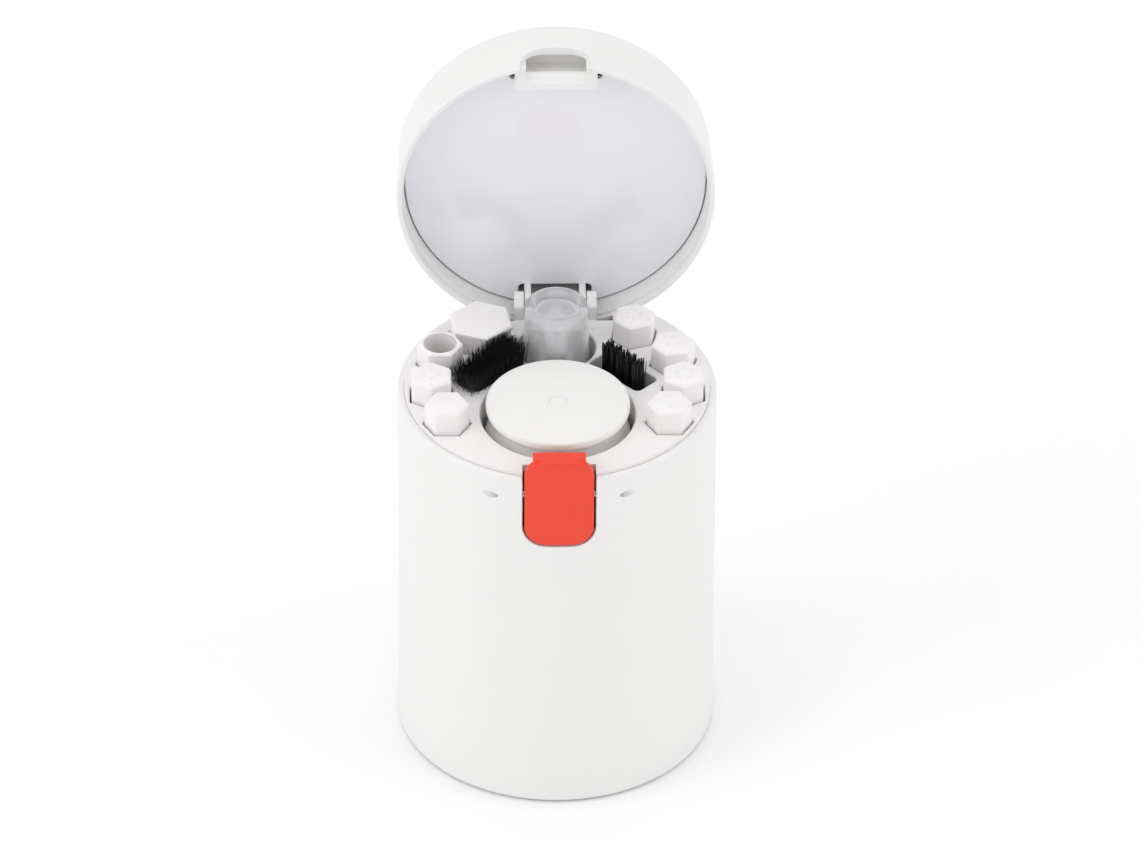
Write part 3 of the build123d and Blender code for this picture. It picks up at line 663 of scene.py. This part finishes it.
@dataclass
class Tuft(Assembly):
    """Bristles as separate strands standing in a handle.

    Sizes are in millimetres. Wander is a share of the spacing; splay, stray and bow are leans as shares of
    the length. The tips fall by crest from the peak, and clump in waves along the brush.
    """

    node: str = ""
    turn: float = 0.0
    size: tuple[float, float] = (15.2, 5.6)
    rows: tuple[int, int] = (52, 20)
    root_r: float = 0.13
    tip_r: float = 0.045
    wander: float = 0.35
    uneven: float = 1.6
    splay: float = 0.09
    bow: float = 0.03
    crest: float = 0.0
    peak: float = 0.0
    shag: float = 0.0
    bundles: int = 0
    bundle_gap: float = 0.35
    seed: int = 7
    stagger: float = 0.5
    stray: float = 0.012
    side_splay: float = 0.6
    end_splays: tuple[float, float] = (1.35, 0.8)
    waves: tuple[float, float, float, float] = (9.0, 2.0, 21.0, 1.3)
    trim: float = 0.15
    shortest: float = 0.5

    def strands(self) -> list[bpy.types.Mesh]:
        """Return a few bristles that differ in bow, to be copied."""
        low, high = box_mm(self.node)
        bows = [self.bow * k / 3 for k in range(1, 7)]
        return [strand(high.z - low.z, self.root_r, self.tip_r, bow) for bow in bows]

    def stands_in_bundle(self, u: float, v: float) -> bool:
        """Tell whether a place is inside one of the oval bundles.

        Args:
            u: place along the brush, from -1 to 1.
            v: place across it, from -1 to 1.

        Returns:
            True inside a bundle, and everywhere on a brush without bundles.
        """
        if not self.bundles:
            return True
        pitch = 2 / self.bundles
        nearest = (math.floor((u + 1) / pitch) + 0.5) * pitch - 1
        across = (u - nearest) / (pitch / 2 * (1 - self.bundle_gap / (self.size[0] / self.bundles)))
        return across * across + v * v <= 1.0

    def fall(self, u: float) -> float:
        """Return how far the tips have fallen from the peak.

        Args:
            u: place along the brush, from -1 to 1.

        Returns:
            A share from 0 at the peak to 1.
        """
        reach = 1 + abs(self.peak)
        return min(1.0, (abs(u - self.peak) / reach) ** 0.8) if self.crest else 0.0

    def spot(self, row: int, place: int, draw: random.Random) -> tuple[float, float]:
        """Return where one strand stands.

        Args:
            row: its row, counted across the brush.
            place: its place along the row.
            draw: where the wander is drawn from.

        Returns:
            Places along and across the brush, from -1 to 1.
        """
        along, across = self.rows
        shift = (row % 2) * self.stagger
        u = (2 * place + 1 + shift) / along - 1 + draw.uniform(-1, 1) * self.wander / along
        v = (2 * row + 1) / across - 1 + draw.uniform(-1, 1) * self.wander / across
        return max(-1.0, min(1.0, u)), max(-1.0, min(1.0, v))

    def stance(self, u: float, v: float, length: float, draw: random.Random) -> Matrix:
        """Return how one strand is moved, shortened and leant.

        Args:
            u: place along the brush, from -1 to 1.
            v: place across it, from -1 to 1.
            length: the whole strand's length.
            draw: where its unevenness is drawn from.

        Returns:
            The change to make to a strand that stands on the origin.
        """
        half = (self.size[0] / 2 - self.root_r, self.size[1] / 2 - self.root_r)
        along, across, quick, phase = self.waves
        clump = self.shag * (math.sin(along * u + across * v) + math.sin(quick * u + phase))
        ragged = abs(draw.gauss(0, 1)) * self.uneven
        drop = ragged + abs(clump) * self.shag + self.crest * self.fall(u) + self.trim
        rise = max(self.shortest, (length - drop) / length)
        end_splay = self.end_splays[0] if u < 0 else self.end_splays[1]
        lean_u = self.splay * u * abs(u) * end_splay + draw.gauss(0, self.stray)
        lean_v = self.splay * self.side_splay * v * abs(v) + draw.gauss(0, self.stray)
        return Matrix((
            (1, 0, lean_u, half[0] * u),
            (0, 1, lean_v, half[1] * v),
            (0, 0, rise, 0),
            (0, 0, 0, 1),
        ))

    def form(self) -> bmesh.types.BMesh:
        """Return every strand as one form."""
        low, high = box_mm(self.node)
        at = centre_mm(self.node)
        draw = random.Random(self.seed)
        kinds = self.strands()
        tuft = bmesh.new()
        for row in range(self.rows[1]):
            for place in range(self.rows[0]):
                u, v = self.spot(row, place, draw)
                if not self.stands_in_bundle(u, v):
                    continue
                bend = self.stance(u, v, high.z - low.z, draw)
                twist = Matrix.Rotation(draw.uniform(0, math.tau), 4, "Z")
                one = draw.choice(kinds).copy()
                one.transform(bend @ twist)
                tuft.from_mesh(one)
                bpy.data.meshes.remove(one)
        for kind in kinds:
            bpy.data.meshes.remove(kind)
        turned = Matrix.Rotation(math.radians(self.turn), 3, "Z")
        bmesh.ops.rotate(tuft, cent=(0, 0, 0), matrix=turned, verts=tuft.verts)
        bmesh.ops.translate(tuft, vec=(at.x, at.y, low.z), verts=tuft.verts)
        return tuft

    def build(self) -> bpy.types.Object:
        """Make the bristles."""
        return self.place(self.form(), f"{self.body}_bristles_strands", NYLON, self.node)


@dataclass
class FlatBrush(Assembly):
    """A flat brush handle with a shoulder where the bristles leave it."""

    node: str = ""
    turn: float = 45.0
    size: tuple[float, float] = (16.6, 6.9)
    corner: float = 1.1
    edge: float = 0.5

    def build(self) -> bpy.types.Object:
        """Make the handle."""
        low, high = box_mm(self.node)
        at = centre_mm(self.node)
        bar = rounded_bar(self.size, self.corner, low.z, high.z, at, self.turn, self.edge)
        return self.place(bar, f"{self.body}_bar", TOOL_PP, self.node)


@dataclass
class Puller(Assembly):
    """The large hexagonal tool: hollow grip, cap plate and steel jaws."""

    body: str = "puller"

    def build(self) -> None:
        """Give the puller's pieces their finishes."""
        self.keep(TOOL_PP, "puller_body", "puller_cap")
        self.keep(STEEL, "puller_jaws")


@dataclass
class Blower(Assembly):
    """The squeeze blower, stored nozzle down: disc foot, waist, shoulder and bulb."""

    body: str = "blower"
    disc_r: float = 18.04
    shoulder_r: float = 18.4
    waist_r: float = 15.6
    wall: float = 2.0
    valve_r: float = 2.3

    def build(self) -> None:
        """Make the blower's pieces; heights are measured down from the disc's top."""
        top = box_mm("blower_bulb")[1].z
        at = centre_mm("blower_bulb")
        spot = (at.x, at.y)
        thick = self.wall
        bulb = [
            (self.valve_r, 0.0), (self.disc_r, 0.0, 0.75), (self.disc_r, -2.1, 0.75),
            (self.waist_r, -4.1, 1.0), (self.waist_r + 0.3, -5.3, 1.0),
            (self.shoulder_r, -8.6, 2.6), (self.shoulder_r, -14.0, 4.0),
            (16.8, -24.9, 5.0), (12.5, -38.9, 6.0), (7.5, -50.9, 3.0), (4.5, -54.9, 0.4), (3.0, -54.9),
            (3.0, -52.4, 0.5), (6.2, -49.4, 2.0), (12.5 - thick, -38.3, 5.0), (16.8 - thick, -24.9, 5.0),
            (self.shoulder_r - thick, -14.0, 3.0), (self.shoulder_r - thick, -9.5, 1.6), (13.6, -5.3, 1.0),
            (13.4, -2.5, 0.6), (self.valve_r, -2.5),
        ]
        soft = spun(bulb, spot, top, closed=True, steps=144)
        self.place(soft, "blower_bulb_soft", SILICONE, "blower_bulb")
        valve = [(0, -0.22), (0.3, -0.2, 0.15), (0.75, 0.0, 0.2), (self.valve_r - 0.02, 0.0, 0.08)]
        valve += [(self.valve_r - 0.02, -2.4), (0, -2.4)]
        plug = spun(valve, spot, top - 0.04, steps=48)
        self.place(plug, "blower_valve_plug", SILICONE, "blower_valve")
        nozzle = [
            (0.9, -82.9, 0.2), (1.7, -82.9, 0.4), (3.4, -60.9, 1.0), (4.5, -58.9, 0.8), (4.5, -54.9, 0.2),
            (2.98, -54.9), (2.98, -52.5, 0.2), (0.9, -52.5),
        ]
        tube = spun(nozzle, spot, top, closed=True, steps=64)
        self.place(tube, "blower_nozzle_tube", TOOL_PP, "blower_nozzle")


@dataclass
class Bottle(Assembly):
    """The spray bottle with its pump collar and dip tube."""

    body: str = "bottle"
    body_r: float = 9.2
    foot_r: float = 8.2
    wall: float = 1.1
    neck_r: float = 5.6

    def build(self) -> None:
        """Make the bottle's pieces."""
        low, high = box_mm("spray_bottle")
        at = centre_mm("spray_bottle")
        spot = (at.x, at.y)
        shoulder = high.z - 12.0 - low.z
        tall = high.z - low.z
        inner = self.body_r - self.wall
        outline = [
            (0, 0.4, 0.3), (self.foot_r - 2.2, 0.0, 0.6), (self.foot_r, 0.0, 0.7), (self.foot_r, 5.0, 0.4),
            (self.body_r, 6.0, 0.6), (self.body_r, shoulder, 1.6), (self.neck_r, shoulder + 3.6, 1.0),
            (self.neck_r, tall, 0.3), (self.neck_r - 1.0, tall, 0.3),
            (self.neck_r - 1.0, shoulder + 2.8, 0.8),
            (inner, shoulder - 0.6, 1.4), (inner, 6.8, 0.6), (self.foot_r - 1.0, 5.5, 0.5),
            (self.foot_r - 1.2, 1.2, 0.6), (0, 1.6),
        ]
        self.place(spun(outline, spot, low.z, steps=96), "bottle_wall", CLEAR_PET, "spray_bottle")
        self.keep(SPRAY_PP, "spray_pump")
        self.keep(CLEAR_PET, "dip_tube")


@dataclass
class Actuator(Assembly):
    """The spray's finger button."""

    body: str = "actuator"

    def build(self) -> None:
        """Give the button its finish."""
        self.keep(SPRAY_PP, "spray_actuator")


@dataclass
class Overcap(Assembly):
    """The clear cap over the spray: dished top, thick ring rim and a centre nub."""

    body: str = "overcap"
    skirt_r: float = 8.45
    rim_r: float = 7.95
    wall: float = 0.85

    def build(self) -> None:
        """Make the cap; heights are measured down from its top."""
        low, high = box_mm("bottle_overcap")
        at = centre_mm("bottle_overcap")
        deep = low.z - high.z
        inner = self.skirt_r - self.wall
        outline = [
            (0, -1.5, 0.3), (1.88, -1.5, 0.45), (1.88, -2.4, 0.2), (5.0, -2.4, 0.8), (5.5, -0.8, 0.5),
            (6.4, 0.0, 0.35), (7.1, 0.0, 0.4), (self.rim_r, -0.9, 0.5), (self.rim_r, -2.6, 0.6),
            (self.skirt_r, deep + 6.0, 2.0), (self.skirt_r, deep, 0.2), (inner, deep, 0.2),
            (inner, deep + 6.0, 2.0), (7.1, -4.4, 0.8), (6.6, -3.4, 0.5), (0, -3.4),
        ]
        cap = spun(outline, (at.x, at.y), high.z, steps=128)
        self.place(cap, "overcap_clear", CLEAR_PP, "bottle_overcap")


@dataclass
class Lifter(Assembly):
    """The sprung cup that the bottle stands on."""

    body: str = "lifter"

    def build(self) -> None:
        """Give the cup its finish."""
        self.keep(TOOL_PP, "bottle_lifter")


# ================================================================ studio


@dataclass
class Studio:
    """The floor, the lights and the camera."""

    azimuth: float = -1.1
    elevation: float = 36.5
    roll: float = 0.35
    lens: float = 420.0
    sensor: float = 36.0
    distance: float = 3.33
    look_right: float = 0.0033
    look_down: float = 0.0101
    floor_size: float = 6.0
    floor_colour: str = "#FFFFFF"
    room_glow: float = 0.73
    lights: Sequence[tuple[str, tuple[float, float, float], float, float]] = field(
        default_factory=lambda: [
            ("left_softbox", (-1.3, -0.5, 0.9), 1.2, 6.2),
            ("right_softbox", (1.4, -0.4, 0.8), 1.2, 4.4),
            ("top_softbox", (0.0, 0.3, 1.8), 1.4, 5.6),
        ]
    )

    def floor(self) -> None:
        """Lay a plain pale floor."""
        form = bmesh.new()
        bmesh.ops.create_grid(form, x_segments=1, y_segments=1, size=self.floor_size / 2)
        mesh = bpy.data.meshes.new("floor")
        form.to_mesh(mesh)
        form.free()
        paper = bpy.data.materials.new("Paper_white")
        paper.use_nodes = True
        shader = paper.node_tree.nodes["Principled BSDF"]
        shader.inputs["Base Color"].default_value = linear(self.floor_colour)
        shader.inputs["Roughness"].default_value = 0.9
        shader.inputs["Specular IOR Level"].default_value = 0.1
        mesh.materials.append(paper)
        sheet = bpy.data.objects.new("floor", mesh)
        bpy.context.scene.collection.objects.link(sheet)

    def light(self, name: str, where: tuple[float, float, float], size: float, power: float) -> None:
        """Hang one square softbox that faces the object.

        Args:
            name: the lamp's name.
            where: its place, in metres.
            size: its side, in metres.
            power: its power, in watts.
        """
        lamp = bpy.data.lights.new(name, "AREA")
        lamp.shape = "SQUARE"
        lamp.size = size
        lamp.energy = power
        held = bpy.data.objects.new(name, lamp)
        bpy.context.scene.collection.objects.link(held)
        held.location = where
        middle = (CAD_BOX[0] + CAD_BOX[1]) / 2
        held.rotation_euler = (middle - Vector(where)).to_track_quat("-Z", "Y").to_euler()

    def surround(self) -> None:
        """Fill the room with even white light, and show white as white."""
        world = bpy.data.worlds.new("white_room")
        world.use_nodes = True
        glow = world.node_tree.nodes["Background"]
        glow.inputs["Color"].default_value = (1.0, 1.0, 1.0, 1.0)
        glow.inputs["Strength"].default_value = self.room_glow
        bpy.context.scene.world = world
        bpy.context.scene.view_settings.view_transform = "Standard"

    def camera(self) -> None:
        """Set the camera a long way off with a long lens, looking down at the deck."""
        rim = Vector((0.0, 0.0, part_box("case_shell")[1].z))
        turn, lift = math.radians(self.azimuth), math.radians(self.elevation)
        back = Vector((math.sin(turn) * math.cos(lift), -math.cos(turn) * math.cos(lift), math.sin(lift)))
        facing = (-back).to_track_quat("-Z", "Y")
        right = facing @ Vector((1, 0, 0))
        up = facing @ Vector((0, 1, 0))
        lens = bpy.data.cameras.new("camera")
        lens.lens = self.lens
        lens.sensor_width = self.sensor
        lens.clip_start, lens.clip_end = 0.05, 50.0
        held = bpy.data.objects.new("camera", lens)
        bpy.context.scene.collection.objects.link(held)
        held.location = rim + right * self.look_right - up * self.look_down + back * self.distance
        held.rotation_mode = "QUATERNION"
        held.rotation_quaternion = facing @ Matrix.Rotation(math.radians(self.roll), 3, "Z").to_quaternion()
        bpy.context.scene.camera = held

    def build(self) -> None:
        """Set up the studio."""
        self.floor()
        for row in self.lights:
            self.light(*row)
        self.surround()
        self.camera()



def small_tools() -> list[Assembly]:
    """Return the hexagonal tools and their tips."""
    needle = [(0, -24.0), (0.35, -23.0, 0.2), (1.1, -12.0, 1.5), (1.08, 7.5), (0, 7.5)]
    bud = [
        (0, -24.0, 0.4), (1.8, -23.4, 0.8), (3.0, -21.0, 1.2), (3.0, -10.0, 1.2), (1.8, -8.0, 0.5),
        (1.38, -7.0, 0.3), (1.38, 7.5), (0, 7.5),
    ]
    pin = [(0, -20.0), (0.4, -20.0, 0.1), (0.4, -6.0, 0.3), (0.98, -4.0, 0.4), (0.98, 7.5), (0, 7.5)]
    cone = [
        (0, -22.0, 0.2), (0.8, -21.6, 0.3), (3.1, -9.0, 0.8), (3.1, -7.0, 0.4), (1.48, -6.0, 0.3),
        (1.48, 7.5), (0, 7.5),
    ]
    return [
        HexTool("pick", "pick_handle", turn=0.0, dots=1),
        Tip("pick", "pick_needle", needle, STEEL),
        HexTool("sponge", "sponge_handle", turn=0.0, dots=2),
        Tip("sponge", "sponge_tip", bud, FOAM),
        HexTool("mini_brush", "mini_brush_handle", turn=30.0, dots=4),
        HexTool("ejector", "ejector_handle", turn=30.0, dots=5),
        Tip("ejector", "ejector_pin", pin, STEEL),
        HexTool("scraper", "scraper_handle", turn=12.0, dots=3),
        HexTool("swab", "swab_handle", turn=20.0, dots=6),
        Tip("swab", "swab_tip", cone, SILICONE),
    ]


def brushes() -> list[Assembly]:
    """Return the flat brushes and their bristles."""
    return [
        FlatBrush("soft_brush", "soft_brush_handle", turn=45.0),
        Tuft(
            "soft_brush", "soft_brush_bristles", turn=45.0, rows=(84, 30), root_r=0.13, wander=0.6,
            uneven=0.22, splay=0.1, crest=1.1, peak=0.5, shag=0.42,
        ),
        FlatBrush("stiff_brush", "stiff_brush_handle", turn=-45.0),
        Tuft(
            "stiff_brush", "stiff_brush_bristles", turn=-45.0, size=(13.6, 4.2), rows=(40, 13), root_r=0.16,
            tip_r=0.13, wander=0.2, uneven=0.25, splay=0.0, bow=0.008, bundles=5, seed=11,
        ),
    ]


def main() -> None:
    """Build every sub-assembly, then set up the studio."""
    logging.basicConfig(level=logging.INFO, format="%(message)s")
    kit: list[Assembly] = [Case(), Lid(), Latch(), *small_tools(), *brushes(), Puller(), Blower()]
    kit += [Bottle(), Actuator(), Overcap(), Lifter()]
    for assembly in kit:
        assembly.build()
    Assembly("holder").keep(TOOL_PP, "tip_holder")
    Assembly("scraper").keep(TOOL_PP, "scraper_blade")
    Studio().build()


if __name__ == "__main__":
    main()
